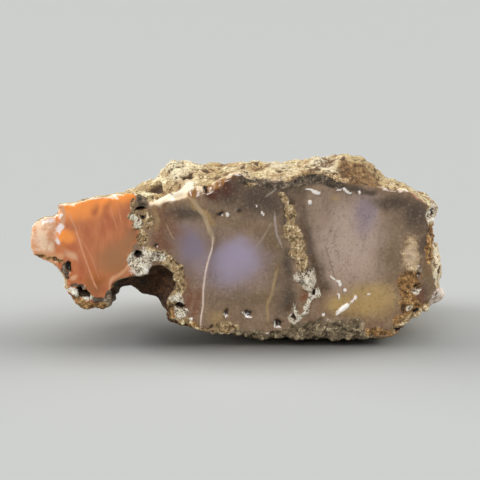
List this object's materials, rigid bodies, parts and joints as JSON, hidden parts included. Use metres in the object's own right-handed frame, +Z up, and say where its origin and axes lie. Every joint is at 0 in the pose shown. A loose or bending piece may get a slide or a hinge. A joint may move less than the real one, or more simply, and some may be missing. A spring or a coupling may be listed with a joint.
{
  "type": "chalcedony specimen",
  "caption": "Rough piece of grey, lavender and orange chalcedony with a broken glassy face, a pitted tan rind, and an arm over an open notch.",
  "frame": {"origin": "centre of the bounding box's bottom, on the surface that the stone rests on", "axes": "+X along the stone's length, from the thin orange arm to the thick end; +Z up; the broken glassy face looks towards -Y"},
  "size_m": [0.1128, 0.0452, 0.0503],
  "materials": {
    "chalcedony": "translucent waxy to glassy chalcedony on the broken face, grey-brown with lavender and ochre clouds and an orange arm; matt, pitted tan and cream rind elsewhere"
  },
  "bodies": {
    "root": {"chalcedony": "chalcedony"}
  },
  "joints": []
}
